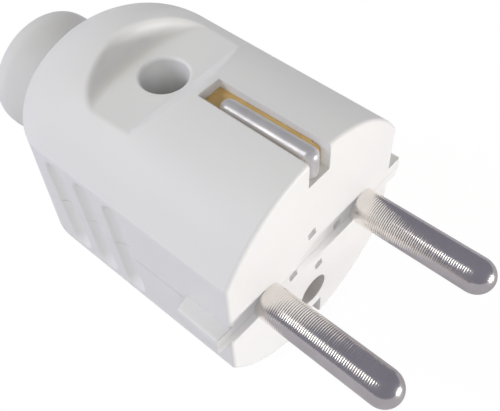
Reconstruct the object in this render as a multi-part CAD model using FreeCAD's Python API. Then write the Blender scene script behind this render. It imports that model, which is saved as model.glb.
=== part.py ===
"""Rewirable mains plug with two round pins, top and bottom earth contacts and an earth socket.

The clam-shell body parts on the plane of the pins and one screw closes it from the recess
behind the upper earth slot. Millimetres. +X is the way the pins point, +Y is across them and
+Z is up. The origin is on the front face, midway between the two pins.
"""

import math
import os

import FreeCAD
import Part

V = FreeCAD.Vector

# Small allowances used all over
overshoot = 1.0
weld = 0.1
thread_clearance = 0.03

# Contact pins, to the plug standard
pin_radius = 2.4
pin_length = 19.0
pin_half_pitch = 9.5
pin_neck_radius = 2.2
neck_clearance = 0.05
neck_grip = 0.5

# Terminal block at the inner end of a pin
block_length = 10.6
block_half_width = 3.0
block_half_height = 3.2
block_round = 0.5
block_gap = 1.4
wire_hole_radius = 1.4
wire_hole_depth = 8.0
wire_hole_z = -0.6
terminal_bore_depth = 0.5

# Shell walls and body outline: a round body with two side flats, flaring to the rear, then domed
wall = 2.1
front_wall = 2.4
rear_wall = 2.5
edge_round = 0.5
flat_cut = 2.5
flat_flare = 0.6
flat_half_front = pin_half_pitch + block_half_width + block_gap + wall
flat_half_rear = flat_half_front + flat_flare
body_flare = 0.8
face_radius = flat_half_front + flat_cut
shoulder_radius = face_radius + body_flare

# Screws of the terminals and their washers
terminal_screw_setback = 4.5
terminal_shank_radius = 1.7
terminal_shank_length = 4.4
terminal_head_radius = 2.7
terminal_head_height = 1.7
head_round = 0.25
driver_slot_width = 0.7
driver_slot_depth = 0.8
washer_radius = 2.9
washer_thickness = 0.7
washer_clearance = 0.1
block_rear_x = -front_wall - block_length
terminal_screw_x = block_rear_x + terminal_screw_setback

# Ribs that carry the terminal blocks
rib_half_thickness = 0.75
rib_gap = 0.25
rib_inset = 0.4
stop_thickness = 1.5
stop_overlap = 1.0
rib_half_width = block_half_width - rib_inset
rib_reach = washer_radius + rib_gap + rib_half_thickness
rib_positions = (terminal_screw_x + rib_reach, terminal_screw_x - rib_reach)

# Earth socket for a fixed earth pin
earth_hole_radius = 2.5
earth_hole_drop = 10.0
sleeve_wall = 0.5
sleeve_floor = 1.4
sleeve_slit = 0.6
sleeve_slit_margin = 2.9
rivet_radius = 1.2
rivet_head_radius = 1.8
rivet_head_height = 0.4
sleeve_outer_radius = earth_hole_radius + sleeve_wall

# Earth slots, strap and contact strips
slot_half_width = 1.85
slot_length = 16.6
notch_wall = 1.4
pad_side = 1.0
pad_lip = 1.4
arm_clearance = 0.1
arm_sink = 1.1
arm_ledge = 0.75
strap_thickness = 0.8
strap_bend_radius = 0.7
web_gap = 0.2
nose_setback = 1.3
nose_clearance = 0.1
strip_radius = 1.2
strip_sink = 0.25
strip_rear_margin = 2.0
notch_floor_z = earth_hole_drop + sleeve_outer_radius + notch_wall
arm_top_z = face_radius - arm_sink
arm_low_z = arm_top_z - strap_thickness
strap_arm_half_width = slot_half_width + arm_ledge
nose_half_width = slot_half_width - nose_clearance
nose_low_z = notch_floor_z + nose_clearance
channel_half_width = strap_arm_half_width + arm_clearance
strap_web_x = -slot_length - web_gap
channel_rear_x = strap_web_x - strap_thickness - arm_clearance
strip_rear_x = -slot_length + strip_rear_margin
sleeve_bore_end_x = strap_web_x + sleeve_floor
sleeve_slit_end_x = sleeve_bore_end_x + sleeve_slit_margin

# Earth terminal
earth_block_length = 5.6
earth_block_half_width = 2.9
earth_block_half_height = 3.6
earth_wire_z = -1.0
earth_shank_length = 4.1
earth_screw_x = strap_web_x + earth_block_length / 2

# Housing screw, its bore, its boss and its nut
screw_head_radius = 2.95
screw_head_height = 2.3
screw_shank_radius = 1.75
screw_bore_clearance = 0.35
screw_bore_round = 0.45
screw_hole_clearance = 0.15
screw_seat_z = 3.6
screw_tip_reach = 0.6
boss_wall = 1.7
web_to_boss = 2.2
nut_across_flats = 6.0
nut_height = 2.8
nut_seat_z = -12.0
nut_clearance = 0.1
screw_bore_radius = screw_head_radius + screw_bore_clearance
screw_hole_radius = screw_shank_radius + screw_hole_clearance
boss_radius = screw_bore_radius + boss_wall
screw_x = strap_web_x - strap_thickness - web_to_boss - boss_radius
screw_tip_z = nut_seat_z - nut_height - screw_tip_reach

# Screw recess on the upper shell
recess_depth = 2.4
recess_slope = 39.7
recess_screw_lead = 3.8
recess_margin = 1.5
recess_axis_lead = 13.4
recess_cove_radius = 2.0
recess_bank = 1.0
recess_ridge_radius = 1.3
recess_wall_angle = 70.0
recess_exit_angle = 24.0
recess_rim_round = 1.0
recess_skin = 2.0
recess_reach = 8.0
backing_margin = 0.8
backing_lean = 2.0
recess_floor_z = face_radius - recess_depth
recess_front_x = screw_x + recess_screw_lead
recess_axis_x = recess_front_x + recess_axis_lead
recess_foot_radius = recess_axis_lead + recess_screw_lead + screw_bore_radius + recess_margin

# Lengthwise stations of the body
screw_to_shoulder = 8.2
flat_delay = 0.4
dome_run = 10.3
dome_margin = 6.0
flat_margin = 1.6
rear_turn = 0.6
shoulder_x = screw_x - screw_to_shoulder
rear_x = shoulder_x - dome_run
dome_depth = dome_run + dome_margin
flat_end_x = shoulder_x - flat_delay
flat_curve_depth = flat_end_x - rear_x + flat_margin

# Side guide ribs on the flats
guide_half_height = 1.6
guide_length = 7.0
guide_ramp = 0.6
guide_root = 1.0
guide_inset = 0.1
guide_round = 0.4

# Grip grooves pressed into the flats
groove_radius = 2.3
groove_depth = 0.95
groove_half_length = 6.9
groove_lean = 0.6
groove_rim_round = 0.4
groove_count = 3
groove_pitch = 5.65
groove_to_shoulder = 3.0

# Cable bushing
bushing_bore_radius = 4.2
bushing_wall = 2.3
bushing_neck_clearance = 0.05
bushing_flange_rise = 1.9
bushing_flange_length = 2.0
bushing_shoulder_rise = 0.7
bushing_waist_rise = 0.7
bushing_waist_gap = 4.0
flare_length = 7.1
flare_rise = 3.3
flare_mid_run = 4.1
flare_mid_rise = 1.15
flare_end_slope = 0.35
bushing_lip_radius = 1.7
bushing_mouth_depth = 3.4
bushing_neck_radius = bushing_bore_radius + bushing_wall
bushing_flange_radius = bushing_neck_radius + bushing_flange_rise
bushing_shoulder_radius = bushing_neck_radius + bushing_shoulder_rise
bushing_waist_radius = bushing_neck_radius + bushing_waist_rise
bushing_waist_x = rear_x - bushing_waist_gap
bushing_rim_radius = bushing_waist_radius + flare_rise
bushing_rim_x = bushing_waist_x - flare_length
bushing_bore_end_x = bushing_rim_x + bushing_mouth_depth
flange_front_x = rear_x + rear_wall + bushing_flange_length

# Ring wall that traps the flange of the bushing
keeper_gap = 0.1
keeper_thickness = 1.4
keeper_overlap = 1.2
keeper_opening = bushing_flange_radius - keeper_overlap
keeper_x = flange_front_x + keeper_gap

# Cable clamp
clamp_gap = 1.6
clamp_half_length = 2.4
clamp_seat_z = -1.0
clamp_thickness = 1.5
clamp_squeeze = 0.5
clamp_head_gap = 0.2
clamp_ear_lip = 0.1
clamp_ear_round = 1.2
clamp_shank_radius = 1.4
clamp_shank_length = 8.0
clamp_hole_clearance = 0.2
clamp_head_radius = 2.5
clamp_head_height = 1.8
clamp_post_wall = 1.4
cable_bed_rise = 0.2
clamp_x = keeper_x + keeper_thickness + clamp_gap + clamp_half_length
clamp_arch_radius = bushing_bore_radius - clamp_squeeze
clamp_outer_radius = clamp_arch_radius + clamp_thickness
clamp_screw_y = clamp_outer_radius + clamp_head_radius + clamp_head_gap
clamp_ear_end = clamp_screw_y + clamp_head_radius + clamp_ear_lip
clamp_post_radius = clamp_shank_radius + clamp_post_wall
cable_bed_z = -(bushing_bore_radius - cable_bed_rise)

# Small marks in the face
mark_side = 1.4
mark_depth = 0.8
mark_to_pin = 5.0
mark_offset = pin_half_pitch - mark_to_pin
mark_turn = 11.0


def box(x0, x1, y0, y1, z0, z1):
    """Return a box between two corners given as three pairs of limits."""
    return Part.makeBox(x1 - x0, y1 - y0, z1 - z0, V(x0, y0, z0))


def rod(radius, x0, x1, y=0.0, z=0.0):
    """Return a cylinder along X between two stations."""
    return Part.makeCylinder(radius, x1 - x0, V(x0, y, z), V(1, 0, 0))


def post(radius, x, y, z0, z1):
    """Return a cylinder along Z between two heights."""
    return Part.makeCylinder(radius, z1 - z0, V(x, y, z0), V(0, 0, 1))


def line(a, b):
    """Return a straight edge."""
    return Part.LineSegment(a, b).toShape()


def arc(a, m, b):
    """Return a circular edge through three points."""
    return Part.Arc(a, m, b).toShape()


def filled(edges):
    """Return the face inside a closed run of edges."""
    return Part.Face(Part.Wire(Part.__sortEdges__(edges)))


def prism_y(points, y0, y1):
    """Return a polygon in XZ pushed out along Y."""
    corners = [V(x, y0, z) for x, z in points]
    wire = Part.makePolygon(corners + corners[:1])
    return Part.Face(wire).extrude(V(0, y1 - y0, 0))


def quarter_curve(centre_x, half_width, depth, end_x):
    """Return an elliptical edge in XY from its widest point to the station end_x, and its end."""
    centre = V(centre_x, 0, 0)
    widest = V(centre_x, half_width, 0)
    tip = V(centre_x - depth, 0, 0)
    if half_width >= depth:
        curve = Part.Ellipse(widest, tip, centre)
        angle = math.asin((centre_x - end_x) / depth)
        edge = Part.ArcOfEllipse(curve, 0.0, angle).toShape()
    else:
        curve = Part.Ellipse(tip, widest, centre)
        angle = math.acos((centre_x - end_x) / depth)
        edge = Part.ArcOfEllipse(curve, angle, math.pi / 2).toShape()
    reach = half_width * math.sqrt(1 - ((centre_x - end_x) / depth) ** 2)
    return edge, reach


def body_form(inset, front_x, end_x):
    """Return the body outline drawn in by an inset: a turned form cut by curved side flats."""
    depth = dome_depth - inset
    half = shoulder_radius - inset
    edge, reach = quarter_curve(shoulder_x, half, depth, end_x + rear_turn)
    share = (shoulder_x - end_x - rear_turn) / depth
    lean = math.atan2(half * share, depth * math.sqrt(1 - share ** 2))
    turn = rear_turn / (1 - math.sin(lean))
    centre_y = reach - turn * math.cos(lean)
    middle = (lean + math.pi / 2) / 2
    turn_mid = V(end_x + turn - turn * math.sin(middle), centre_y + turn * math.cos(middle), 0)
    slope = (shoulder_radius - face_radius) / -shoulder_x
    front_r = face_radius - inset - slope * front_x
    edges = [
        line(V(front_x, 0, 0), V(front_x, front_r, 0)),
        line(V(front_x, front_r, 0), V(shoulder_x, half, 0)),
        edge,
        arc(V(end_x + rear_turn, reach, 0), turn_mid, V(end_x, centre_y, 0)),
        line(V(end_x, centre_y, 0), V(end_x, 0, 0)),
        line(V(end_x, 0, 0), V(front_x, 0, 0)),
    ]
    turned = filled(edges).revolve(V(0, 0, 0), V(1, 0, 0), 360)
    flat_slope = (flat_half_rear - flat_half_front) / -flat_end_x
    front_y = flat_half_front - inset - flat_slope * front_x
    side, end_y = quarter_curve(flat_end_x, flat_half_rear - inset, flat_curve_depth - inset, end_x)
    near_side = side.mirror(V(0, 0, 0), V(0, 1, 0))
    outline = [
        line(V(front_x, -front_y, 0), V(front_x, front_y, 0)),
        line(V(front_x, front_y, 0), V(flat_end_x, flat_half_rear - inset, 0)),
        side,
        line(V(end_x, end_y, 0), V(end_x, -end_y, 0)),
        near_side,
        line(V(flat_end_x, inset - flat_half_rear, 0), V(front_x, -front_y, 0)),
    ]
    reach_z = 2 * shoulder_radius
    slab = filled(outline).extrude(V(0, 0, reach_z))
    slab.translate(V(0, 0, -reach_z / 2))
    return turned.common(slab)


def softened(shape, picker, radius):
    """Round the edges that the picker accepts."""
    chosen = [edge for edge in shape.Edges if picker(edge)]
    return shape.makeFillet(radius, chosen)


def on_front(edge):
    """Tell whether an edge lies in the front face."""
    return edge.BoundBox.XMin > -0.01


def on_crease(edge):
    """Tell whether an edge runs lengthwise where a flat meets the round of the body."""
    box_of = edge.BoundBox
    return box_of.XLength > 5 and abs(box_of.Center.y) > 5 and abs(box_of.Center.z) > 2


def on_rib_rim(edge):
    """Tell whether an edge of a guide rib lies in the face or runs lengthwise."""
    return on_front(edge) or edge.BoundBox.XLength > guide_length / 2


def guide_rib(side):
    """Return one guide rib on a side flat, ramped at its rear end."""
    root = flat_half_front - guide_root
    tip = face_radius + overshoot
    level = flat_half_front + guide_inset
    rib = box(-guide_length, 0, root, tip, -guide_half_height, guide_half_height)
    rib = rib.common(rod(face_radius - guide_inset, -guide_length - overshoot, overshoot))
    rib = softened(rib, lambda e: on_rib_rim(e) and e.BoundBox.YMin > root + weld, guide_round)
    behind = -guide_length - overshoot
    points = [V(-guide_length, level, 0), V(behind, level, 0), V(behind, tip, 0),
              V(-guide_length + guide_ramp, tip, 0)]
    wire = Part.makePolygon(points + points[:1])
    ramp = Part.Face(wire).extrude(V(0, 0, 4 * guide_half_height))
    ramp.translate(V(0, 0, -2 * guide_half_height))
    rib = rib.cut(ramp)
    return rib if side > 0 else rib.mirror(V(0, 0, 0), V(0, 1, 0))


def grip_groove(x, side):
    """Return the tool that presses one grip groove into a side flat."""
    reach = flat_half_front + (flat_half_rear - flat_half_front) * x / flat_end_x
    y = reach + groove_radius - groove_depth
    foot = V(x + groove_lean, y, -groove_half_length)
    head = V(x - groove_lean, y, groove_half_length)
    run = head.sub(foot)
    tool = Part.makeCylinder(groove_radius, run.Length, foot, run)
    tool = tool.fuse([Part.makeSphere(groove_radius, foot), Part.makeSphere(groove_radius, head)])
    return tool if side > 0 else tool.mirror(V(0, 0, 0), V(0, 1, 0))


def on_groove_rim(edge):
    """Tell whether an edge is where a grip groove meets its flat."""
    limits = edge.BoundBox
    low = shoulder_x + groove_to_shoulder - groove_pitch
    high = low + (groove_count + 1) * groove_pitch
    beside = abs(limits.Center.y) > pin_half_pitch + block_half_width
    short = limits.XLength < 2 * groove_radius and limits.ZLength > groove_lean
    return beside and short and low < limits.XMin and limits.XMax < min(high, -guide_length)


def on_recess_rim(edge):
    """Tell whether an edge is where the screw recess meets the round of the body."""
    limits = edge.BoundBox
    if limits.ZMin < recess_floor_z - 0.01 or limits.DiagonalLength < edge_round:
        return False
    span = edge.LastParameter - edge.FirstParameter
    gaps = []
    for share in (0.1, 0.5, 0.9):
        at = edge.valueAt(edge.FirstParameter + share * span)
        behind = shoulder_x - at.x
        if behind < 0:
            radius = face_radius + body_flare * at.x / shoulder_x
        else:
            radius = shoulder_radius * math.sqrt(max(0, 1 - (behind / dome_depth) ** 2))
        gaps.append(abs(math.hypot(at.y, at.z) - radius))
    return max(gaps) < 0.02 and limits.XMax < -slot_length


def recess_tool():
    """Return the tool that cuts the screw recess: sloped front, flat floor, coved rear wall."""
    steep = math.radians(recess_wall_angle)
    shallow = math.radians(recess_exit_angle)
    r0 = recess_foot_radius
    z0 = recess_floor_z
    rc = recess_cove_radius
    half = steep / 2
    foot = V(r0, 0, z0)
    cove_mid = V(r0 + rc * math.sin(half), 0, z0 + rc * (1 - math.cos(half)))
    cove_end = V(r0 + rc * math.sin(steep), 0, z0 + rc * (1 - math.cos(steep)))
    bank = cove_end.add(V(recess_bank * math.cos(steep), 0, recess_bank * math.sin(steep)))
    rv = recess_ridge_radius
    centre = bank.add(V(rv * math.sin(steep), 0, -rv * math.cos(steep)))
    middle = (steep + shallow) / 2
    ridge_mid = centre.add(V(-rv * math.sin(middle), 0, rv * math.cos(middle)))
    ridge_end = centre.add(V(-rv * math.sin(shallow), 0, rv * math.cos(shallow)))
    top_z = z0 + recess_reach
    far = ridge_end.add(V((top_z - ridge_end.z) / math.tan(shallow), 0, top_z - ridge_end.z))
    edges = [
        line(V(0, 0, z0), foot),
        arc(foot, cove_mid, cove_end),
        line(cove_end, bank),
        arc(bank, ridge_mid, ridge_end),
        line(ridge_end, far),
        line(far, V(0, 0, top_z)),
        line(V(0, 0, top_z), V(0, 0, z0)),
    ]
    turned = filled(edges).revolve(V(0, 0, 0), V(0, 0, 1), 360)
    turned.translate(V(recess_axis_x, 0, 0))
    tilt = math.tan(math.radians(recess_slope))
    low = overshoot
    points = [(recess_front_x - low / tilt, z0 - low),
              (recess_front_x + recess_reach / tilt, top_z), (rear_x, top_z), (rear_x, z0 - low)]
    return turned.common(prism_y(points, -face_radius, face_radius))


def recess_backing():
    """Return the block of material kept under the screw recess."""
    tilt = math.tan(math.radians(recess_slope))
    shift = recess_skin / math.sin(math.radians(recess_slope))
    z0 = recess_floor_z - recess_skin
    base_x = recess_front_x + shift - recess_skin / tilt
    top_z = z0 + recess_reach
    points = [(base_x, z0), (base_x + recess_reach / tilt, top_z), (rear_x, top_z), (rear_x, z0)]
    wedge = prism_y(points, -face_radius, face_radius)
    radius = recess_foot_radius + recess_skin + backing_margin
    drum = Part.makeCone(radius, radius + backing_lean, recess_reach, V(recess_axis_x, 0, z0),
                         V(0, 0, 1))
    return wedge.common(drum)


def outer_body():
    """Return the solid outer form of the plug body with guide ribs, grooves and face marks."""
    form = body_form(0.0, 0.0, rear_x)
    form = softened(form, lambda e: on_front(e) or on_crease(e), edge_round)
    form = form.fuse([guide_rib(1), guide_rib(-1)]).removeSplitter()
    grooves = []
    for step in range(groove_count):
        x = shoulder_x + groove_to_shoulder + step * groove_pitch
        grooves.append(grip_groove(x, 1))
        grooves.append(grip_groove(x, -1))
    form = softened(form.cut(grooves), on_groove_rim, groove_rim_round)
    tools = []
    half = mark_side / 2
    for y, z in ((0, mark_offset), (0, -mark_offset), (mark_offset, 0), (-mark_offset, 0)):
        mark = box(-mark_depth, overshoot, y - half, y + half, z - half, z + half)
        mark.rotate(V(0, 0, 0), V(1, 0, 0), mark_turn)
        tools.append(mark)
    return form.cut(tools)


def earth_pad(sign):
    """Return the inner pad round an earth slot, which guides the strap arm on both sides."""
    half = channel_half_width + pad_side
    pad = box(channel_rear_x - pad_side, weld - front_wall, -half, half, arm_low_z - pad_lip,
              face_radius)
    return pad if sign > 0 else pad.mirror(V(0, 0, 0), V(0, 0, 1))


def slot_tools(sign):
    """Return the tools that open an earth slot: the slot with its notch in the face, and the
    channel for the strap arm under the ledges on both sides of the slot."""
    slot = box(-slot_length, overshoot, -slot_half_width, slot_half_width, notch_floor_z,
               2 * face_radius)
    low = min(notch_floor_z, arm_low_z - pad_lip) - overshoot
    channel = box(channel_rear_x, -front_wall, -channel_half_width, channel_half_width, low,
                  arm_top_z)
    tools = [slot, channel]
    return tools if sign > 0 else [tool.mirror(V(0, 0, 0), V(0, 0, 1)) for tool in tools]


def keeper_rib():
    """Return the ring wall that traps the flange of the bushing against the rear wall."""
    front = keeper_x + keeper_thickness
    slab = box(keeper_x, front, -face_radius, face_radius, -face_radius, face_radius)
    return slab.cut(rod(keeper_opening, keeper_x - overshoot, front + overshoot))


def pin_rib(x, side, sign):
    """Return a rib that carries a terminal block from the wall of one shell."""
    y = side * pin_half_pitch
    rib = box(x - rib_half_thickness, x + rib_half_thickness, y - rib_half_width,
              y + rib_half_width, block_half_height, face_radius)
    return rib if sign > 0 else rib.mirror(V(0, 0, 0), V(0, 0, 1))


def stop_rib(side, sign):
    """Return a rib behind a terminal block, open in the middle for the wire."""
    y = side * pin_half_pitch
    rib = box(block_rear_x - stop_thickness, block_rear_x, y - rib_half_width,
              y + rib_half_width, block_half_height - stop_overlap, face_radius)
    return rib if sign > 0 else rib.mirror(V(0, 0, 0), V(0, 0, 1))


def half_of(shape, sign):
    """Return the part of a shape above or below the parting plane."""
    size = 3 * face_radius
    low = 0 if sign > 0 else -size
    return shape.common(box(rear_x - overshoot, overshoot, -size, size, low, low + size))


def shell(sign):
    """Return one half of the clam-shell body; sign is 1 for the upper and -1 for the lower."""
    inner = body_form(wall, -front_wall, rear_x + rear_wall)
    kept = [earth_pad(sign), keeper_rib()]
    for side in (1, -1):
        for x in rib_positions:
            kept.append(pin_rib(x, side, sign))
        kept.append(stop_rib(side, sign))
    if sign > 0:
        kept.append(post(boss_radius, screw_x, 0, 0, recess_floor_z))
        kept.append(recess_backing())
    else:
        kept.append(post(boss_radius, screw_x, 0, -shoulder_radius, 0))
        low = -shoulder_radius
        x0 = clamp_x - clamp_half_length
        x1 = clamp_x + clamp_half_length
        kept.append(box(x0, x1, -clamp_screw_y, clamp_screw_y, low, cable_bed_z))
        for side in (1, -1):
            kept.append(post(clamp_post_radius, clamp_x, side * clamp_screw_y, low, clamp_seat_z))
    cavity = inner.cut(kept)
    outer = outer_body()
    if sign > 0:
        outer = softened(outer.cut(recess_tool()), on_recess_rim, recess_rim_round)
    form = half_of(outer.cut(cavity), sign)
    tools = slot_tools(sign)
    tools.append(rod(bushing_neck_radius + bushing_neck_clearance, rear_x - overshoot,
                     rear_x + rear_wall + weld))
    for side in (1, -1):
        tools.append(rod(pin_neck_radius + neck_clearance, -front_wall - weld, overshoot,
                         side * pin_half_pitch))
    if sign > 0:
        tools.append(post(screw_bore_radius, screw_x, 0, screw_seat_z, shoulder_radius))
        tools.append(post(screw_hole_radius, screw_x, 0, -overshoot, screw_seat_z + overshoot))
    else:
        tools.append(post(screw_hole_radius, screw_x, 0, nut_seat_z - overshoot, overshoot))
        tools.append(hexagon(nut_across_flats / 2 + nut_clearance, -2 * shoulder_radius,
                             nut_seat_z))
        tools.append(rod(earth_hole_radius, -front_wall - weld, overshoot, 0, -earth_hole_drop))
        for side in (1, -1):
            tools.append(post(clamp_shank_radius + thread_clearance, clamp_x,
                              side * clamp_screw_y,
                              clamp_seat_z - clamp_shank_length, clamp_seat_z + overshoot))
    form = form.cut(tools)
    if sign > 0:
        form = softened(form, on_screw_mouth, screw_bore_round)
    return form


def on_screw_mouth(edge):
    """Tell whether an edge is the rim of the screw bore in the recess floor."""
    limits = edge.BoundBox
    flat = limits.ZLength < 0.01 and abs(limits.ZMin - recess_floor_z) < 0.01
    round_rim = abs(limits.YLength - 2 * screw_bore_radius) < 0.05
    return flat and round_rim


def hexagon(half_across, z0, z1):
    """Return a six-sided prism along Z at the housing screw."""
    corner = half_across / math.cos(math.pi / 6)
    points = []
    for step in range(6):
        angle = math.pi / 6 + step * math.pi / 3
        points.append(V(screw_x + corner * math.cos(angle), corner * math.sin(angle), z0))
    wire = Part.makePolygon(points + points[:1])
    return Part.Face(wire).extrude(V(0, 0, z1 - z0))


def slotted_screw(x, y, seat_z, head_radius, head_height, shank_radius, shank_length):
    """Return a cheese-head screw along Z with a driver slot, its head resting at seat_z."""
    head = post(head_radius, x, y, seat_z, seat_z + head_height)
    head = softened(head, lambda e: e.BoundBox.ZMin > seat_z + head_height - 0.01, head_round)
    shank = post(shank_radius, x, y, seat_z - shank_length, seat_z)
    body = head.fuse(shank).removeSplitter()
    half = driver_slot_width / 2
    top = seat_z + head_height
    slot = box(x - 2 * head_radius, x + 2 * head_radius, y - half, y + half,
               top - driver_slot_depth, top + overshoot)
    return body.cut(slot)


def contact_pin(side):
    """Return one contact pin: a domed round pin, a neck in the wall and a terminal block."""
    y = side * pin_half_pitch
    tip_x = pin_length - pin_radius
    shank = rod(pin_radius, 0, tip_x, y)
    tip = Part.makeSphere(pin_radius, V(tip_x, y, 0))
    neck = rod(pin_neck_radius, -front_wall - neck_grip, neck_grip, y)
    block = box(block_rear_x, -front_wall, y - block_half_width, y + block_half_width,
                -block_half_height, block_half_height)
    block = softened(block, lambda e: e.BoundBox.XLength > block_length / 2, block_round)
    pin = shank.fuse([tip, neck, block]).removeSplitter()
    wire_hole = rod(wire_hole_radius, block_rear_x - overshoot, block_rear_x + wire_hole_depth,
                    y, wire_hole_z)
    bore = post(terminal_shank_radius + thread_clearance, terminal_screw_x, y,
                wire_hole_z - terminal_bore_depth, block_half_height + overshoot)
    return pin.cut([wire_hole, bore])


def clamp_washer(side):
    """Return the washer under a terminal screw."""
    y = side * pin_half_pitch
    top = block_half_height + washer_thickness
    ring = post(washer_radius, terminal_screw_x, y, block_half_height, top)
    hole = post(terminal_shank_radius + washer_clearance, terminal_screw_x, y, 0, 2 * top)
    return ring.cut(hole)


def terminal_screw(side):
    """Return the screw of one terminal block."""
    seat = block_half_height + washer_thickness
    return slotted_screw(terminal_screw_x, side * pin_half_pitch, seat, terminal_head_radius,
                         terminal_head_height, terminal_shank_radius, terminal_shank_length)


def earth_strap():
    """Return the bent earth strap: a web and two arms under the slots, their noses bent in."""
    rear = strap_web_x - strap_thickness
    arm = strap_arm_half_width
    parts = [box(rear, strap_web_x, -arm, arm, -arm_top_z, arm_top_z)]
    for sign in (1, -1):
        z0, z1 = sorted((sign * arm_low_z, sign * arm_top_z))
        parts.append(box(rear, -front_wall - arm_clearance, -arm, arm, z0, z1))
        parts.append(box(-front_wall - strap_thickness, -nose_setback, -nose_half_width,
                         nose_half_width, z0, z1))
        z0, z1 = sorted((sign * nose_low_z, sign * arm_top_z))
        parts.append(box(-nose_setback - strap_thickness, -nose_setback, -nose_half_width,
                         nose_half_width, z0, z1))
    strap = parts[0].fuse(parts[1:]).removeSplitter()
    strap = softened(strap, on_bend, strap_bend_radius)
    holes = [rod(rivet_radius, rear - overshoot, strap_web_x + overshoot, 0, -earth_hole_drop),
             rod(rivet_radius, rear - overshoot, strap_web_x + overshoot, 0, 0)]
    return strap.cut(holes)


def on_bend(edge):
    """Tell whether an edge is the outer corner of a bend of the earth strap."""
    limits = edge.BoundBox
    ends = (strap_web_x - strap_thickness, -nose_setback)
    at_end = limits.XLength < 0.01 and min(abs(limits.XMax - x) for x in ends) < 0.01
    outer = abs(abs(limits.Center.z) - arm_top_z) < 0.01
    return at_end and outer and limits.YLength > nose_half_width


def earth_strip(sign):
    """Return the raised contact strip that lies on a strap arm and bends down over its nose."""
    z = arm_top_z - strip_sink
    front = -nose_setback - strip_sink
    rear = strip_rear_x + strip_radius
    bead = rod(strip_radius, rear, front, 0, z)
    bead = bead.fuse([Part.makeSphere(strip_radius, V(rear, 0, z)),
                      Part.makeSphere(strip_radius, V(front, 0, z)),
                      post(strip_radius, front, 0, nose_low_z, z)]).removeSplitter()
    side = 2 * strip_radius
    under = box(strip_rear_x - side, -nose_setback, -side, side, nose_low_z - side, arm_top_z)
    bead = bead.cut(under)
    return bead if sign > 0 else bead.mirror(V(0, 0, 0), V(0, 0, 1))


def riveted(z):
    """Return the rivet tail that holds a part to the web of the strap at height z."""
    rear = strap_web_x - strap_thickness
    tail = rod(rivet_radius, rear - rivet_head_height / 2, strap_web_x + weld, 0, z)
    head = rod(rivet_head_radius, rear - rivet_head_height, rear, 0, z)
    return tail.fuse(head)


def earth_sleeve():
    """Return the split sleeve that takes the earth pin of a socket."""
    z = -earth_hole_drop
    tube = rod(sleeve_outer_radius, strap_web_x, -front_wall, 0, z)
    tube = tube.fuse(riveted(z)).removeSplitter()
    tube = tube.cut(rod(earth_hole_radius, sleeve_bore_end_x, 0, 0, z))
    half = sleeve_slit / 2
    slit = box(sleeve_slit_end_x, 0, -2 * sleeve_outer_radius, 2 * sleeve_outer_radius,
               z - half, z + half)
    return tube.cut(slit)


def earth_terminal():
    """Return the earth terminal block riveted to the front of the web."""
    x1 = strap_web_x + earth_block_length
    block = box(strap_web_x, x1, -earth_block_half_width, earth_block_half_width,
                -earth_block_half_height, earth_block_half_height)
    block = softened(block, lambda e: e.BoundBox.XLength > earth_block_length / 2, block_round)
    block = block.fuse(riveted(0)).removeSplitter()
    wire = Part.makeCylinder(wire_hole_radius, 4 * earth_block_half_width,
                             V(earth_screw_x, -2 * earth_block_half_width, earth_wire_z),
                             V(0, 1, 0))
    bore = post(terminal_shank_radius + thread_clearance, earth_screw_x, 0, earth_wire_z,
                earth_block_half_height + overshoot)
    return block.cut([wire, bore])


def earth_screw():
    """Return the screw of the earth terminal."""
    return slotted_screw(earth_screw_x, 0, earth_block_half_height, terminal_head_radius,
                         terminal_head_height, terminal_shank_radius, earth_shank_length)


def cable_clamp():
    """Return the arched strap that holds the cable down on its bed."""
    x0 = clamp_x - clamp_half_length
    x1 = clamp_x + clamp_half_length
    top = clamp_seat_z + clamp_thickness
    form = rod(clamp_outer_radius, x0, x1, 0, clamp_seat_z)
    form = form.fuse(box(x0, x1, -clamp_ear_end, clamp_ear_end, clamp_seat_z, top))
    side = 2 * clamp_ear_end
    form = form.cut([rod(clamp_arch_radius, x0 - overshoot, x1 + overshoot, 0, clamp_seat_z),
                     box(x0 - overshoot, x1 + overshoot, -side, side, -side, clamp_seat_z)])
    form = form.removeSplitter()
    form = softened(form, on_ear_corner, clamp_ear_round)
    holes = []
    for side in (1, -1):
        holes.append(post(clamp_shank_radius + clamp_hole_clearance, clamp_x,
                          side * clamp_screw_y, clamp_seat_z - overshoot, top + overshoot))
    return form.cut(holes)


def on_ear_corner(edge):
    """Tell whether an edge is an upright corner at the end of a clamp ear."""
    limits = edge.BoundBox
    at_end = abs(abs(limits.Center.y) - clamp_ear_end) < 0.01
    return at_end and abs(limits.ZLength - clamp_thickness) < 0.01


def clamp_screw(side):
    """Return one screw of the cable clamp."""
    return slotted_screw(clamp_x, side * clamp_screw_y, clamp_seat_z + clamp_thickness,
                         clamp_head_radius, clamp_head_height, clamp_shank_radius,
                         clamp_shank_length)


def housing_screw():
    """Return the screw that closes the body."""
    return slotted_screw(screw_x, 0, screw_seat_z, screw_head_radius, screw_head_height,
                         screw_shank_radius, screw_seat_z - screw_tip_z)


def housing_nut():
    """Return the captive nut in the underside of the lower shell."""
    nut = hexagon(nut_across_flats / 2, nut_seat_z - nut_height, nut_seat_z)
    return nut.cut(post(screw_shank_radius + thread_clearance, screw_x, 0, 2 * nut_seat_z, 0))


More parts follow.
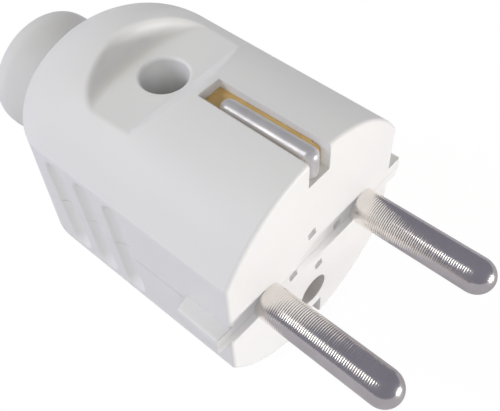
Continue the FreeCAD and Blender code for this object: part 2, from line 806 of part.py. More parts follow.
def cable_bushing():
    """Return the soft cable bushing: inner flange, neck in the rear wall and a flared end."""
    inside_x = rear_x + rear_wall
    front_x = flange_front_x
    lip = bushing_lip_radius
    rim = V(bushing_rim_x, bushing_rim_radius, 0)
    lip_centre = V(bushing_rim_x, bushing_rim_radius - lip, 0)
    lip_back = lip_centre.add(V(-lip, 0, 0))
    lip_turn = lip_centre.add(V(-lip * math.sin(math.pi / 4), lip * math.cos(math.pi / 4), 0))
    waist = V(bushing_waist_x, bushing_waist_radius, 0)
    flare = Part.BSplineCurve()
    flare.interpolate([waist, waist.add(V(-flare_mid_run, flare_mid_rise, 0)), rim],
                      InitialTangent=V(-1, 0, 0), FinalTangent=V(-1, flare_end_slope, 0))
    bore_end = V(bushing_bore_end_x, bushing_bore_radius, 0)
    mouth = Part.BSplineCurve()
    mouth.interpolate([bore_end, lip_back],
                      InitialTangent=V(-3, 0, 0), FinalTangent=V(-0.5, 3, 0))
    edges = [
        line(V(front_x, bushing_bore_radius, 0), V(front_x, bushing_flange_radius, 0)),
        line(V(front_x, bushing_flange_radius, 0), V(inside_x, bushing_flange_radius, 0)),
        line(V(inside_x, bushing_flange_radius, 0), V(inside_x, bushing_neck_radius, 0)),
        line(V(inside_x, bushing_neck_radius, 0), V(rear_x, bushing_neck_radius, 0)),
        line(V(rear_x, bushing_neck_radius, 0), V(rear_x, bushing_shoulder_radius, 0)),
        line(V(rear_x, bushing_shoulder_radius, 0), waist),
        flare.toShape(),
        arc(rim, lip_turn, lip_back),
        mouth.toShape(),
        line(bore_end, V(front_x, bushing_bore_radius, 0)),
    ]
    return filled(edges).revolve(V(0, 0, 0), V(1, 0, 0), 360)


def pieces():
    """Return every piece of the plug under its own name."""
    found = {
        "upper_shell": shell(1),
        "lower_shell": shell(-1),
        "earth_strap": earth_strap(),
        "earth_strip_upper": earth_strip(1),
        "earth_strip_lower": earth_strip(-1),
        "earth_sleeve": earth_sleeve(),
        "earth_terminal": earth_terminal(),
        "earth_terminal_screw": earth_screw(),
        "cable_clamp": cable_clamp(),
        "housing_screw": housing_screw(),
        "housing_nut": housing_nut(),
        "cable_bushing": cable_bushing(),
    }
    for side, word in ((-1, "left"), (1, "right")):
        found["contact_pin_" + word] = contact_pin(side)
        found["terminal_washer_" + word] = clamp_washer(side)
        found["terminal_screw_" + word] = terminal_screw(side)
        found["clamp_screw_" + word] = clamp_screw(side)
    return found


def main():
    """Build every piece and write it to its own file."""
    os.makedirs("parts", exist_ok=True)
    for name, shape in pieces().items():
        solid = shape.Solids[0] if len(shape.Solids) == 1 else shape
        limits = solid.BoundBox
        print("%-22s solids %d valid %s volume %9.2f  x %.2f %.2f  y %.2f %.2f  z %.2f %.2f" % (
            name, len(shape.Solids), shape.isValid(), shape.Volume, limits.XMin, limits.XMax,
            limits.YMin, limits.YMax, limits.ZMin, limits.ZMax))
        solid.exportStep("parts/" + name + ".step")


main()
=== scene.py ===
"""Looks of a rewirable mains plug: finishes, soft and threaded pieces, studio and camera."""

import logging
import math
from dataclasses import dataclass
from enum import Enum
from typing import Optional, Sequence, Union

import bpy
import numpy as np
from mathutils import Matrix, Vector


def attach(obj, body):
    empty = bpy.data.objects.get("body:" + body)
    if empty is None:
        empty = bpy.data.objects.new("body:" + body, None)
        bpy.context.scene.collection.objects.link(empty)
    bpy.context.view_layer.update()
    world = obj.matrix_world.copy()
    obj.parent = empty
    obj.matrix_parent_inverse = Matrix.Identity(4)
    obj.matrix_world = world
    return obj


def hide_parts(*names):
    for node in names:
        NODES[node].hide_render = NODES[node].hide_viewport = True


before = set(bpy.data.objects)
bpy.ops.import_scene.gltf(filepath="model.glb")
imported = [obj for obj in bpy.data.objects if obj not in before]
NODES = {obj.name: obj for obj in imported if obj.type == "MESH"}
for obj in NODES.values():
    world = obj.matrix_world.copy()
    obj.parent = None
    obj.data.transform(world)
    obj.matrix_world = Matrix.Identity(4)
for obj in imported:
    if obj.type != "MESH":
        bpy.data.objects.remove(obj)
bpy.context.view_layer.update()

BODY = "root"
MM = 0.001
MIDDLE = 0.5  # the value that noise and tool marks swing round
BEVEL_SAMPLES = 8
WHITE = (1.0, 1.0, 1.0)
SQUARE = (0.3, 0.3)  # metres, the size of the lamps that only fill in
AIM = Vector((-0.015, 0.0, 0.0))  # the middle of the plug, which every lamp faces
LOG = logging.getLogger("plug")


# Shader maths


class Signal:
    """One socket of a finish, so that a sum of shader values reads as a plain sum."""

    def __init__(self, bench: "Bench", socket: bpy.types.NodeSocket) -> None:
        """Keep the socket and the bench it belongs to."""
        self.bench = bench
        self.socket = socket

    def __add__(self, other: "Value") -> "Signal":
        """Return self + other."""
        return self.bench.maths("ADD", self, other)

    def __radd__(self, other: "Value") -> "Signal":
        """Return other + self."""
        return self.bench.maths("ADD", other, self)

    def __sub__(self, other: "Value") -> "Signal":
        """Return self - other."""
        return self.bench.maths("SUBTRACT", self, other)

    def __rsub__(self, other: "Value") -> "Signal":
        """Return other - self."""
        return self.bench.maths("SUBTRACT", other, self)

    def __mul__(self, other: "Value") -> "Signal":
        """Return self * other."""
        return self.bench.maths("MULTIPLY", self, other)

    def __rmul__(self, other: "Value") -> "Signal":
        """Return other * self."""
        return self.bench.maths("MULTIPLY", other, self)

    def __truediv__(self, other: "Value") -> "Signal":
        """Return self / other."""
        return self.bench.maths("DIVIDE", self, other)

    def __rtruediv__(self, other: "Value") -> "Signal":
        """Return other / self."""
        return self.bench.maths("DIVIDE", other, self)

    def __abs__(self) -> "Signal":
        """Return the size of self without its sign."""
        return self.bench.maths("ABSOLUTE", self)

    def sine(self) -> "Signal":
        """Return the sine of self, in radians."""
        return self.bench.maths("SINE", self)

    def ramp(self, low: float, high: float) -> "Signal":
        """Return self eased from 0 at low to 1 at high, held outside them.

        Args:
            low: the value that gives 0.
            high: the value that gives 1, which may lie below low.

        Returns:
            The eased value, by the cubic 3t^2 - 2t^3.
        """
        return self.bench.output(
            "ShaderNodeMapRange",
            {"interpolation_type": "SMOOTHSTEP", "clamp": True},
            {"Value": self, "From Min": low, "From Max": high},
        )


Value = Union[Signal, float]
Colour = Union[Signal, Sequence[float]]


class Bench:
    """The node tree of one finish, built from values, links and sums."""

    def __init__(self, name: str, holder: Optional[bpy.types.World] = None) -> None:
        """Start an empty tree.

        Args:
            name: the material's name.
            holder: the world that holds the tree, or None for a new material.
        """
        self.material = holder or bpy.data.materials.new(name)
        self.material.use_nodes = True
        self.tree = self.material.node_tree
        self.tree.nodes.clear()

    def node(self, kind: str, settings: Optional[dict] = None,
             sockets: Optional[dict] = None) -> bpy.types.Node:
        """Add one node.

        Args:
            kind: the node's type.
            settings: the node's own properties, set first.
            sockets: values or links of its inputs, by name or number.

        Returns:
            The new node.
        """
        made = self.tree.nodes.new(kind)
        for key, value in (settings or {}).items():
            setattr(made, key, value)
        for key, value in (sockets or {}).items():
            if isinstance(value, Signal):
                self.tree.links.new(value.socket, made.inputs[key])
            else:
                made.inputs[key].default_value = value
        return made

    def output(self, kind: str, settings: Optional[dict] = None,
               sockets: Optional[dict] = None, out: Union[int, str] = 0) -> Signal:
        """Add one node and return one of its outputs as a signal."""
        return Signal(self, self.node(kind, settings, sockets).outputs[out])

    def maths(self, operation: str, *values: Value) -> Signal:
        """Return one Math node's result on signals or numbers."""
        return self.output("ShaderNodeMath", {"operation": operation}, dict(enumerate(values)))

    def tint(self, share: Value, first: Colour, second: Colour) -> Signal:
        """Mix two colours.

        Args:
            share: 0 gives the first colour and 1 the second.
            first: linear red, green and blue, or a colour signal.
            second: linear red, green and blue, or a colour signal.

        Returns:
            The mixed colour.
        """
        ends = [c if isinstance(c, Signal) else (*c, 1.0) for c in (first, second)]
        return self.output("ShaderNodeMix", {"data_type": "RGBA"},
                           {0: share, 6: ends[0], 7: ends[1]}, 2)

    def place(self) -> Signal:
        """Return the point in the object's own frame, in metres."""
        return self.output("ShaderNodeTexCoord", out="Object")

    def axes(self, point: Signal) -> list[Signal]:
        """Return the X, Y and Z parts of a point."""
        split = self.node("ShaderNodeSeparateXYZ", None, {0: point})
        return [Signal(self, part) for part in split.outputs]

    def noise(self, point: Signal, pitch: float, detail: float = 2.0,
              stretch: Sequence[float] = (1.0, 1.0, 1.0)) -> Signal:
        """Return soft noise from 0 to 1.

        Args:
            point: where the noise is read.
            pitch: the size of one lump, in metres.
            detail: how many finer layers are added.
            stretch: how much longer a lump is along X, Y and Z.

        Returns:
            The noise value.
        """
        scale = tuple(1.0 / (pitch * s) for s in stretch)
        fitted = self.output("ShaderNodeMapping", None, {"Vector": point, "Scale": scale})
        return self.output("ShaderNodeTexNoise", None,
                           {"Vector": fitted, "Scale": 1.0, "Detail": detail})

    def rays(self) -> tuple[Signal, Signal]:
        """Tell the rays apart.

        Returns:
            Two signals: 1 for what the camera sees directly or through a clear piece, and 1
            for what it sees mirrored.
        """
        path = self.node("ShaderNodeLightPath")
        straight = self.maths("MAXIMUM", Signal(self, path.outputs["Is Camera Ray"]),
                              Signal(self, path.outputs["Is Transmission Ray"]))
        return straight, Signal(self, path.outputs["Is Glossy Ray"])

    def bump(self, height: Signal, depth: float, softened: float = 0.0) -> Signal:
        """Return the normal of a relief on a surface.

        Args:
            height: the relief, from 0 to 1.
            depth: how far 1 stands above 0, in metres.
            softened: the radius that edges are rounded by under the relief, in metres.

        Returns:
            The normal.
        """
        sockets = {"Height": height, "Distance": depth, "Strength": 1.0}
        if softened:
            sockets["Normal"] = self.output("ShaderNodeBevel", {"samples": BEVEL_SAMPLES},
                                            {"Radius": softened})
        return self.output("ShaderNodeBump", None, sockets)

    def finish(self, sockets: dict) -> bpy.types.Material:
        """Close the tree with a Principled surface.

        Args:
            sockets: values or links of the Principled node.

        Returns:
            The finished material.
        """
        shader = self.output("ShaderNodeBsdfPrincipled", None, sockets)
        self.node("ShaderNodeOutputMaterial", None, {"Surface": shader})
        return self.material


# Finishes


class Grain(Enum):
    """How a metal piece was made, which sets the way its marks run."""

    TURNED = "turned"
    ROLLED = "rolled"
    TUMBLED = "tumbled"


@dataclass(frozen=True)
class MouldedPlastic:
    """Satin moulded plastic: a fine spark grain, faint flow clouds and, on a shell, its seam."""

    name: str
    colour: tuple[float, float, float]
    cloud: tuple[float, float, float]
    roughness: float
    edge: float = 0.25 * MM
    ior: float = 1.5
    grain_pitch: float = 0.16 * MM
    grain_depth: float = 0.004 * MM
    grain_detail: float = 3.0
    grain_sheen: float = 0.08
    flow_pitch: float = 9.0 * MM
    flow_stretch: tuple[float, float, float] = (2.2, 1.0, 1.0)
    flow_span: tuple[float, float] = (0.35, 0.7)
    flow_sheen: float = 0.10
    seam: bool = False
    seam_half_width: float = 0.04 * MM
    seam_floor_share: float = 0.2
    seam_grains_deep: float = 2.0

    def build(self) -> bpy.types.Material:
        """Return the material.

        The relief is fine noise, less a groove where |z| is under the seam's half width. The
        colour drifts between two near whites with broad noise.
        """
        bench = Bench(self.name)
        point = bench.place()
        fine = bench.noise(point, self.grain_pitch, self.grain_detail)
        flow = bench.noise(point, self.flow_pitch, stretch=self.flow_stretch)
        height = fine
        share = flow.ramp(*self.flow_span)
        if self.seam:
            bottom = self.seam_floor_share * self.seam_half_width
            groove = abs(bench.axes(point)[2]).ramp(self.seam_half_width, bottom)
            height = height - groove * self.seam_grains_deep
            share = bench.maths("MAXIMUM", share, groove)
        sheen = (flow - MIDDLE) * self.flow_sheen + (fine - MIDDLE) * self.grain_sheen
        return bench.finish({
            "Base Color": bench.tint(share, self.colour, self.cloud),
            "Roughness": self.roughness + sheen,
            "Normal": bench.bump(height, self.grain_depth, self.edge),
            "IOR": self.ior,
        })


@dataclass(frozen=True)
class Metal:
    """A metal finish with the marks of how the piece was made."""

    name: str
    colour: tuple[float, float, float]
    shade: tuple[float, float, float]
    roughness: float
    grain: Grain
    mark_pitch: float = 0.1 * MM
    mark_depth: float = 0.001 * MM
    edge: float = 0.1 * MM
    metallic: float = 1.0
    line_share: float = 0.35
    line_detail: float = 1.5
    polished: tuple[float, float, float, float] = (0.5 * MM, 3.5 * MM, 15.5 * MM, 17.0 * MM)
    rolled_stretch: tuple[float, float, float] = (30.0, 1.0, 1.0)
    mark_detail: float = 3.0
    mark_tone: float = 0.3
    mark_sheen: float = 0.1
    drift_pitch: float = 3.0 * MM
    drift_span: tuple[float, float] = (0.35, 0.75)
    drift_sheen: float = 0.12

    def marks(self, bench: Bench, point: Signal) -> Signal:
        """Return the relief of the tool marks.

        Args:
            bench: the tree being built.
            point: the point in the object's frame.

        Returns:
            Noise drawn out along the way the tool ran: right round X for turned pieces,
            lengthwise for rolled strip, and even for tumbled parts. Turned marks grow between
            the first two of the polished places and fade out between the last two.
        """
        if self.grain is Grain.TURNED:
            x = bench.axes(point)[0]
            along = x / self.mark_pitch
            lines = bench.output("ShaderNodeTexNoise", {"noise_dimensions": "1D"},
                                 {"W": along, "Scale": 1.0, "Detail": self.line_detail})
            feed = (along * (2 * math.pi)).sine() * 0.5 + 0.5
            start, grown, fading, end = self.polished
            shown = x.ramp(start, grown) * x.ramp(end, fading)
            rings = lines * self.line_share + feed * (1.0 - self.line_share)
            return (rings - MIDDLE) * shown + MIDDLE
        if self.grain is Grain.ROLLED:
            return bench.noise(point, self.mark_pitch, self.mark_detail, self.rolled_stretch)
        return bench.noise(point, self.mark_pitch, self.mark_detail)

    def build(self) -> bpy.types.Material:
        """Return the material: marks in the relief and roughness, and a broad drift of tone."""
        bench = Bench(self.name)
        point = bench.place()
        marks = self.marks(bench, point)
        drift = bench.noise(point, self.drift_pitch, self.mark_detail)
        tone = drift.ramp(*self.drift_span) * (1.0 - self.mark_tone) + marks * self.mark_tone
        sheen = (drift - MIDDLE) * self.drift_sheen + (marks - MIDDLE) * self.mark_sheen
        return bench.finish({
            "Base Color": bench.tint(tone, self.colour, self.shade),
            "Metallic": self.metallic,
            "Roughness": self.roughness + sheen,
            "Normal": bench.bump(marks, self.mark_depth, self.edge),
        })


@dataclass(frozen=True)
class PaleFloor:
    """The studio floor: a plain pale surface that shows white to the camera, but for shadow."""

    name: str = "studio_floor"
    colour: tuple[float, float, float] = (0.86, 0.86, 0.87)
    # painted shade: the floor's matt colour as only mirror rays see it, darker than the floor
    # itself
    mirrored_painted_shade: tuple[float, float, float] = (0.50, 0.49, 0.57)
    glow: float = 1.05
    seen_share: float = 0.90
    mirrored_share: float = 0.10
    near: float = 0.3
    far: float = 1.6

    def build(self) -> bpy.types.Material:
        """Return the material: diffuse to the light, part glow to camera and mirror rays.

        Near the plug the glow is a share of what is seen, so that the shadow shows. It grows to
        the whole between the two distances, where the floor meets the white sky. Mirror rays
        find the rest in a darker colour, a painted shade that stands for the floor lying in shade,
        so that metal keeps a dark underside.
        """
        bench = Bench(self.name)
        straight, mirrored = bench.rays()
        away = bench.output("ShaderNodeVectorMath", {"operation": "LENGTH"},
                            {0: bench.place()}, "Value").ramp(self.near, self.far)
        share = straight * (self.seen_share + away * (1.0 - self.seen_share))
        share = share + mirrored * (self.mirrored_share + away * (1.0 - self.mirrored_share))
        # the matt colour turns to the painted shade for mirror rays
        matt = bench.output("ShaderNodeBsdfDiffuse", None,
                            {"Color": bench.tint(mirrored, self.colour, self.mirrored_painted_shade)})
        glow = bench.output("ShaderNodeEmission", None,
                            {"Color": (*WHITE, 1.0), "Strength": self.glow})
        both = bench.output("ShaderNodeMixShader", None, {0: share, 1: matt, 2: glow})
        bench.node("ShaderNodeOutputMaterial", None, {"Surface": both})
        return bench.material


# Numpy surfaces


class Skin:
    """Meshes made from whole arrays of points."""

    THREAD_CREASE = 30.0  # degrees
    THREAD_END_SHARE = 0.04  # what is left of a thread's section at its very ends

    @staticmethod
    def grid_faces(rows: int, columns: int, wrap_rows: bool, wrap_columns: bool) -> np.ndarray:
        """Return the quads of a grid of points.

        Args:
            rows: how many points run along the first parameter.
            columns: how many points run along the second parameter.
            wrap_rows: whether the last row joins the first.
            wrap_columns: whether the last column joins the first.

        Returns:
            Four point numbers for each face: (i, j), (i + 1, j), (i + 1, j + 1), (i, j + 1).
        """
        i = np.arange(rows if wrap_rows else rows - 1)
        j = np.arange(columns if wrap_columns else columns - 1)
        i, j = (a.ravel() for a in np.meshgrid(i, j, indexing="ij"))
        i2, j2 = (i + 1) % rows, (j + 1) % columns
        return np.stack([i * columns + j, i2 * columns + j, i2 * columns + j2, i * columns + j2], 1)

    @staticmethod
    def mesh(name: str, points: np.ndarray, faces: Sequence[np.ndarray],
             crease: float = 40.0) -> bpy.types.Object:
        """Put points and faces into a new object.

        Args:
            name: the object's name.
            points: N x 3 places in metres.
            faces: arrays of point numbers, one array for each number of corners.
            crease: edges sharper than this, in degrees, stay sharp.

        Returns:
            The object, linked to the scene, with faces that point outwards.
        """
        data = bpy.data.meshes.new(name)
        listed = [face for group in faces for face in group.tolist()]
        data.from_pydata(points.tolist(), [], listed)
        data.validate()
        made = bpy.data.objects.new(name, data)
        bpy.context.scene.collection.objects.link(made)
        data.shade_smooth()
        data.set_sharp_from_angle(angle=math.radians(crease))
        return made

    @classmethod
    def ring(cls, name: str, profile: np.ndarray, turns: int) -> bpy.types.Object:
        """Return a closed profile turned right round the X axis.

        Args:
            name: the object's name.
            profile: K x 2 pairs of x and radius on a closed loop, in metres, run anticlockwise.
            turns: how many steps make the full turn.

        Returns:
            The object. A point is (x, r cos a, r sin a).
        """
        angle = np.linspace(0, 2 * math.pi, turns, endpoint=False)
        x = np.repeat(profile[:, :1], turns, 1)
        y = profile[:, 1:] * np.cos(angle)
        z = profile[:, 1:] * np.sin(angle)
        points = np.stack([x, y, z], -1).reshape(-1, 3)
        return cls.mesh(name, points, [cls.grid_faces(len(profile), turns, True, True)])

    @classmethod
    def helix(cls, name: str, section: np.ndarray, centre: Sequence[float], low: float,
              high: float, pitch: float, steps: int = 36) -> bpy.types.Object:
        """Return a screw thread: a closed section carried up a helix about a Z axis.

        Args:
            name: the object's name.
            section: K x 2 pairs of radius and height on a closed loop, in metres.
            centre: X and Y of the axis.
            low: height of the first turn's middle.
            high: height of the last turn's middle.
            pitch: rise of one turn.
            steps: how many stations make one turn.

        Returns:
            The object. At angle a the section stands at height low + pitch a / (2 pi), and its
            radius beyond the root fades to nothing over the first and the last half turn.
        """
        turns = (high - low) / pitch
        angle = np.linspace(0, turns * 2 * math.pi, int(turns * steps) + 1)
        run = np.minimum(angle, angle[-1] - angle) / math.pi
        ease = np.clip(run, cls.THREAD_END_SHARE, 1.0)[:, None]
        root = section[:, 0].min()
        radius = root + (section[None, :, 0] - root) * ease
        height = low + pitch * angle[:, None] / (2 * math.pi) + section[None, :, 1] * ease
        points = np.stack([centre[0] + radius * np.cos(angle[:, None]),
                           centre[1] + radius * np.sin(angle[:, None]), height], -1)
        count = len(section)
        caps = np.array([np.arange(count)[::-1], (len(angle) - 1) * count + np.arange(count)])
        sides = cls.grid_faces(len(angle), count, False, True)
        return cls.mesh(name, points.reshape(-1, 3), [sides[:, ::-1], caps[:, ::-1]],
                        cls.THREAD_CREASE)


def fillet(points: Sequence[tuple[float, float, float]], steps: int = 6) -> np.ndarray:
    """Return a closed polygon with each corner rounded by its own radius.

    Args:
        points: corners as x, y and the radius of the round there.
        steps: how many pieces each round has.

    Returns:
        Places on the rounded loop: each corner becomes the quadratic curve
        (1 - t)^2 a + 2 t (1 - t) c + t^2 b between points a and b on its two sides, which
        lie at most half of a side away.
    """
    corners = np.array(points, float)
    here = corners[:, None, :2]
    before = np.roll(corners, 1, 0)[:, None, :2] - here
    after = np.roll(corners, -1, 0)[:, None, :2] - here
    reach = corners[:, None, 2:]
    start = here + before * np.minimum(reach / np.linalg.norm(before, axis=2, keepdims=True), 0.5)
    end = here + after * np.minimum(reach / np.linalg.norm(after, axis=2, keepdims=True), 0.5)
    t = np.linspace(0, 1, steps + 1)[None, :, None]
    curve = (1 - t) ** 2 * start + 2 * t * (1 - t) * here + t ** 2 * end
    return curve.reshape(-1, 2)


# Sub-assemblies


def dress(node: str, material: bpy.types.Material) -> None:
    """Give a carried-over node a finish.

    Args:
        node: the node's name.
        material: what its slots take.
    """
    for holder in NODES[node].material_slots:
        holder.material = material
    LOG.info("%s dressed in %s", node, material.name)


def seat(piece: bpy.types.Object, material: bpy.types.Material,
         stands_for: Sequence[str] = ()) -> None:
    """Make a new piece part of the plug.

    Args:
        piece: the new object.
        material: its finish.
        stands_for: nodes that it replaces.
    """
    piece.data.materials.clear()
    piece.data.materials.append(material)
    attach(piece, BODY)
    if stands_for:
        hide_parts(*stands_for)
    LOG.info("%s made, %d faces, in %s", piece.name, len(piece.data.polygons), material.name)


@dataclass
class Shells:
    """The two halves of the moulded body."""

    plastic: MouldedPlastic = MouldedPlastic(
        "shell_white_plastic", (0.86, 0.86, 0.855), (0.845, 0.845, 0.85), 0.42, seam=True)

    def build(self) -> None:
        """Dress both halves in the same plastic."""
        material = self.plastic.build()
        for node in ("upper_shell", "lower_shell"):
            dress(node, material)


@dataclass
class Bushing:
    """The soft flared end that the cable comes in through."""

    bore: float = 4.2 * MM
    flange: float = 8.4 * MM
    neck: float = 6.5 * MM
    collar: float = 7.2 * MM
    waist: float = 7.2 * MM
    rim: float = 10.5 * MM
    flange_front: float = -38.8 * MM
    wall_inside: float = -40.8 * MM
    wall_outside: float = -43.3 * MM
    waist_x: float = -47.3 * MM
    rim_x: float = -54.5 * MM
    rear_x: float = -56.1 * MM
    mouth: float = 8.0 * MM
    mouth_depth: float = 5.1 * MM
    rim_lead: float = 0.2 * MM
    rim_drop: float = 0.4 * MM
    rim_front_round: float = 0.9 * MM
    rim_rear_round: float = 1.3 * MM
    mouth_round: float = 1.0 * MM
    throat_round: float = 2.0 * MM
    flange_round: float = 0.3 * MM
    neck_round: float = 0.1 * MM
    collar_round: float = 0.25 * MM
    waist_round: float = 0.6 * MM
    flare_span: tuple[float, float] = (0.06, 0.88)
    flare_steps: int = 22
    flare_power: float = 0.9
    joined: tuple[int, int] = (3, 2)
    turns: int = 128
    plastic: MouldedPlastic = MouldedPlastic(
        "bushing_soft_plastic", (0.79, 0.79, 0.785), (0.77, 0.77, 0.77), 0.5,
        grain_pitch=0.22 * MM, grain_depth=0.006 * MM)

    def profile(self) -> np.ndarray:
        """Return the closed section, x and radius, with soft corners and a trumpet flare.

        The flare from waist to rim is r = waist + (rim - waist) (3 s^2 - 2 s^3)^power for s
        from 0 to 1 along it. The rest is a polygon with rounded corners, less a few points of
        its first and last rounds, where the flare's two ends join them.
        """
        s = np.linspace(*self.flare_span, self.flare_steps)
        ease = (3 * s ** 2 - 2 * s ** 3) ** self.flare_power
        x = self.waist_x + (self.rim_x - self.waist_x) * s
        r = self.waist + (self.rim - self.waist) * ease
        flare = np.stack([x, r], 1)
        inner = fillet([
            (self.rim_x + self.rim_lead, self.rim, self.rim_front_round),
            (self.rear_x, self.rim - self.rim_drop, self.rim_rear_round),
            (self.rear_x, self.mouth, self.mouth_round),
            (self.rear_x + self.mouth_depth, self.bore, self.throat_round),
            (self.flange_front, self.bore, self.flange_round),
            (self.flange_front, self.flange, self.flange_round),
            (self.wall_inside, self.flange, self.flange_round),
            (self.wall_inside, self.neck, self.neck_round),
            (self.wall_outside, self.neck, self.neck_round),
            (self.wall_outside, self.collar, self.collar_round),
            (self.waist_x, self.waist, self.waist_round),
        ])
        first, last = self.joined
        return np.concatenate([flare, inner[first:-last]])

    def build(self) -> None:
        """Build the bushing over its node."""
        piece = Skin.ring("cable_bushing_flared", self.profile()[::-1], self.turns)
        seat(piece, self.plastic.build(), ["cable_bushing"])


@dataclass
class Contacts:
    """The two round pins, turned from bar and nickel plated."""

    nickel: Metal = Metal("pin_turned_nickel", (0.90, 0.86, 0.81), (0.80, 0.76, 0.72), 0.21,
                          Grain.TURNED, mark_pitch=0.28 * MM, mark_depth=0.020 * MM)

    def build(self) -> None:
        """Dress both pins."""
        material = self.nickel.build()
        for node in ("contact_pin_left", "contact_pin_right"):
            dress(node, material)


@dataclass
class EarthPath:
    """The brass strap, its raised strips, the sleeve and the terminal of the earth contact."""

    brass: Metal = Metal("earth_brass", (0.87, 0.64, 0.27), (0.74, 0.48, 0.19), 0.32,
                         Grain.ROLLED, mark_pitch=0.05 * MM, metallic=0.8)
    nickel: Metal = Metal("strip_nickel", (0.84, 0.83, 0.82), (0.72, 0.71, 0.71), 0.32,
                          Grain.ROLLED, mark_pitch=0.04 * MM, metallic=0.6)

    def build(self) -> None:
        """Dress the brass pieces and the strips."""
        brass = self.brass.build()
        for node in ("earth_strap", "earth_sleeve", "earth_terminal"):
            dress(node, brass)
        nickel = self.nickel.build()
        for node in ("earth_strip_upper", "earth_strip_lower"):
            dress(node, nickel)


@dataclass(frozen=True)
class Thread:
    """One screw's thread, in millimetres: where it is and how coarse."""

    name: str
    x: float
    y: float
    low: float
    high: float
    root: float
    crest: float
    pitch: float


@dataclass
class Fasteners:
    """Screws, washers, nut and clamp, with cut threads on the shanks.

    A thread's flanks and crest are shares of its pitch, and its root is sunk into the shank by
    so many millimetres.
    """

    threads: tuple[Thread, ...] = (
        Thread("housing_screw_thread", -24.8, 0.0, -15.2, -4.0, 1.70, 1.98, 0.7),
        Thread("terminal_left_thread", -8.5, -9.5, -0.3, 3.4, 1.65, 1.9, 0.5),
        Thread("terminal_right_thread", -8.5, 9.5, -0.3, 3.4, 1.65, 1.9, 0.5),
        Thread("earth_terminal_thread", -14.0, 0.0, -0.3, 3.2, 1.65, 1.9, 0.5),
        Thread("clamp_left_thread", -33.3, -7.9, -7.2, -1.2, 1.35, 1.7, 1.1),
        Thread("clamp_right_thread", -33.3, 7.9, -7.2, -1.2, 1.35, 1.7, 1.1),
    )
    flank_share: float = 0.42
    crest_share: float = 0.06
    sunk: float = 0.05
    zinc: Metal = Metal("screw_zinc_steel", (0.62, 0.63, 0.66), (0.50, 0.51, 0.54), 0.3,
                        Grain.TUMBLED, mark_pitch=0.25 * MM)
    strip: Metal = Metal("clamp_pressed_steel", (0.60, 0.60, 0.61), (0.48, 0.48, 0.50), 0.36,
                         Grain.ROLLED, mark_pitch=0.06 * MM)

    def build(self) -> None:
        """Dress the fasteners and wind a thread on each screw."""
        zinc = self.zinc.build()
        for node in ("housing_screw", "housing_nut", "earth_terminal_screw",
                     "terminal_screw_left", "terminal_screw_right", "terminal_washer_left",
                     "terminal_washer_right", "clamp_screw_left", "clamp_screw_right"):
            dress(node, zinc)
        dress("cable_clamp", self.strip.build())
        for cut in self.threads:
            half, flat = cut.pitch * self.flank_share, cut.pitch * self.crest_share
            root = cut.root - self.sunk
            section = np.array([(root, -half), (cut.crest, -flat), (cut.crest, flat),
                                (root, half)]) * MM
            piece = Skin.helix(cut.name, section, (cut.x * MM, cut.y * MM), cut.low * MM,
                               cut.high * MM, cut.pitch * MM)
            seat(piece, zinc)


# Studio


@dataclass(frozen=True)
class Lamp:
    """One soft panel: where it stands, how large it is and what it gives.

    Its azimuth runs from +X to +Y and its elevation up from the floor, in degrees. A mirrored
    lamp shows in metal, and a lamp that isn't lit shows only there.
    """

    name: str
    azimuth: float
    elevation: float
    size: tuple[float, float]
    power: float
    colour: tuple[float, float, float]
    mirrored: bool = False
    lit: bool = True
    distance: float = 0.7

    def build(self) -> None:
        """Stand the panel up, facing the plug."""
        data = bpy.data.lights.new(self.name, "AREA")
        data.shape = "RECTANGLE"
        data.size, data.size_y = self.size
        data.energy = self.power
        data.color = self.colour
        lamp = bpy.data.objects.new(self.name, data)
        turn, rise = math.radians(self.azimuth), math.radians(self.elevation)
        lamp.location = self.distance * Vector(
            (math.cos(turn) * math.cos(rise), math.sin(turn) * math.cos(rise), math.sin(rise)))
        lamp.visible_glossy = self.mirrored
        lamp.visible_diffuse = self.lit
        lamp.rotation_euler = (AIM - lamp.location).to_track_quat("-Z", "Y").to_euler()
        bpy.context.scene.collection.objects.link(lamp)


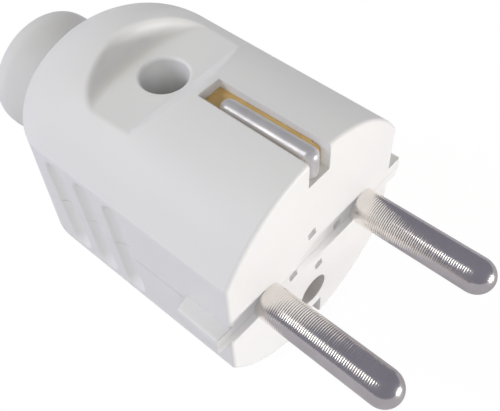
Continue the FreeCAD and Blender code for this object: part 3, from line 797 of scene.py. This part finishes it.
@dataclass
class Studio:
    """Floor, lamps, world and the camera that stands where the photograph was taken from.

    The eye is in millimetres. Right, down and ahead are the picture's own directions, and its
    focal length, centre and frame are in its pixels.
    """

    floor_z: float = -19.36 * MM
    floor_half: float = 4.0
    floor_rows: int = 9
    lamps: tuple[Lamp, ...] = (
        Lamp("key_panel", 22.0, -0.5, (0.28, 0.025), 2.35, (1.0, 0.99, 0.98), mirrored=True),
        Lamp("front_panel", 12.0, -1.0, (0.24, 0.014), 1.00, (1.0, 0.90, 0.81)),
        Lamp("near_front_panel", 315.0, 32.0, SQUARE, 0.95, (0.96, 1.0, 0.94)),
        Lamp("near_rear_panel", 225.0, 32.0, SQUARE, 1.92, (0.84, 0.85, 1.0)),
        Lamp("rear_top_panel", 180.0, 60.0, SQUARE, 0.62, (0.95, 1.0, 0.60)),
        Lamp("rear_right_panel", 120.0, 25.0, SQUARE, 0.66, (0.80, 0.84, 1.0)),
        Lamp("streak_strip", 235.0, 41.0, (0.10, 0.45), 0.58, (1.0, 0.99, 0.98), True, False),
    )
    sky: tuple[float, float, float] = (0.30, 0.283, 0.291)
    mirrored_sky: tuple[float, float, float] = (0.20, 0.198, 0.25)
    eye: tuple[float, float, float] = (30.5, -43.23, 79.63)
    right: tuple[float, float, float] = (0.69698974, 0.70627606, -0.12401382)
    down: tuple[float, float, float] = (0.48040954, -0.58830666, -0.65046287)
    ahead: tuple[float, float, float] = (-0.53236451, 0.39378853, -0.74934546)
    focal_px: float = 728.958
    centre_px: tuple[float, float] = (165.233, 157.607)
    frame_px: tuple[float, float] = (500.0, 411.0)
    sensor: float = 36.0
    near_clip: float = 5.0 * MM

    def lay_floor(self) -> None:
        """Lay the floor under the plug, a flat grid: z = floor at every x and y."""
        side = np.linspace(-self.floor_half, self.floor_half, self.floor_rows)
        x, y = np.meshgrid(side, side, indexing="ij")
        points = np.stack([x, y, np.full_like(x, self.floor_z)], -1).reshape(-1, 3)
        rows = Skin.grid_faces(self.floor_rows, self.floor_rows, False, False)
        floor = Skin.mesh("studio_floor", points, [rows])
        floor.data.materials.append(PaleFloor().build())

    def light(self) -> None:
        """Stand up the lamps and set a soft even sky, white to the camera and grey in metal."""
        for lamp in self.lamps:
            lamp.build()
        world = bpy.data.worlds.new("studio_sky")
        bpy.context.scene.world = world
        bench = Bench("studio_sky", world)
        straight, mirrored = bench.rays()
        around = bench.tint(mirrored, self.sky, self.mirrored_sky)
        colour = bench.tint(straight, around, WHITE)
        glow = bench.output("ShaderNodeBackground", None, {"Color": colour, "Strength": 1.0})
        bench.node("ShaderNodeOutputWorld", None, {"Surface": glow})

    def stand_camera(self) -> None:
        """Stand the camera where the photograph's pins, face and flats put it."""
        data = bpy.data.cameras.new("photo_camera")
        width, height = self.frame_px
        data.sensor_width = self.sensor
        data.lens = self.focal_px / width * self.sensor
        data.shift_x = (width / 2 - self.centre_px[0]) / width
        data.shift_y = (self.centre_px[1] - height / 2) / width
        data.clip_start = self.near_clip
        camera = bpy.data.objects.new("photo_camera", data)
        axes = (Vector(self.right), -Vector(self.down), -Vector(self.ahead))
        turn = Matrix(axes).transposed().to_4x4()
        camera.matrix_world = Matrix.Translation(Vector(self.eye) * MM) @ turn
        bpy.context.scene.collection.objects.link(camera)
        bpy.context.scene.camera = camera

    def build(self) -> None:
        """Build the whole studio."""
        self.lay_floor()
        self.light()
        self.stand_camera()
        bpy.context.scene.view_settings.view_transform = "Standard"


def corners(box: Sequence[Vector]) -> list[list[float]]:
    """Return a box's two corners as plain lists."""
    return [[float(v) for v in corner] for corner in box]


def main() -> None:
    """Build every sub-assembly in order."""
    logging.basicConfig(level=logging.INFO, format="%(message)s")
    for part in (Shells(), Bushing(), Contacts(), EarthPath(), Fasteners(), Studio()):
        part.build()
        LOG.info("%s done", type(part).__name__)


if __name__ == "__main__":
    main()
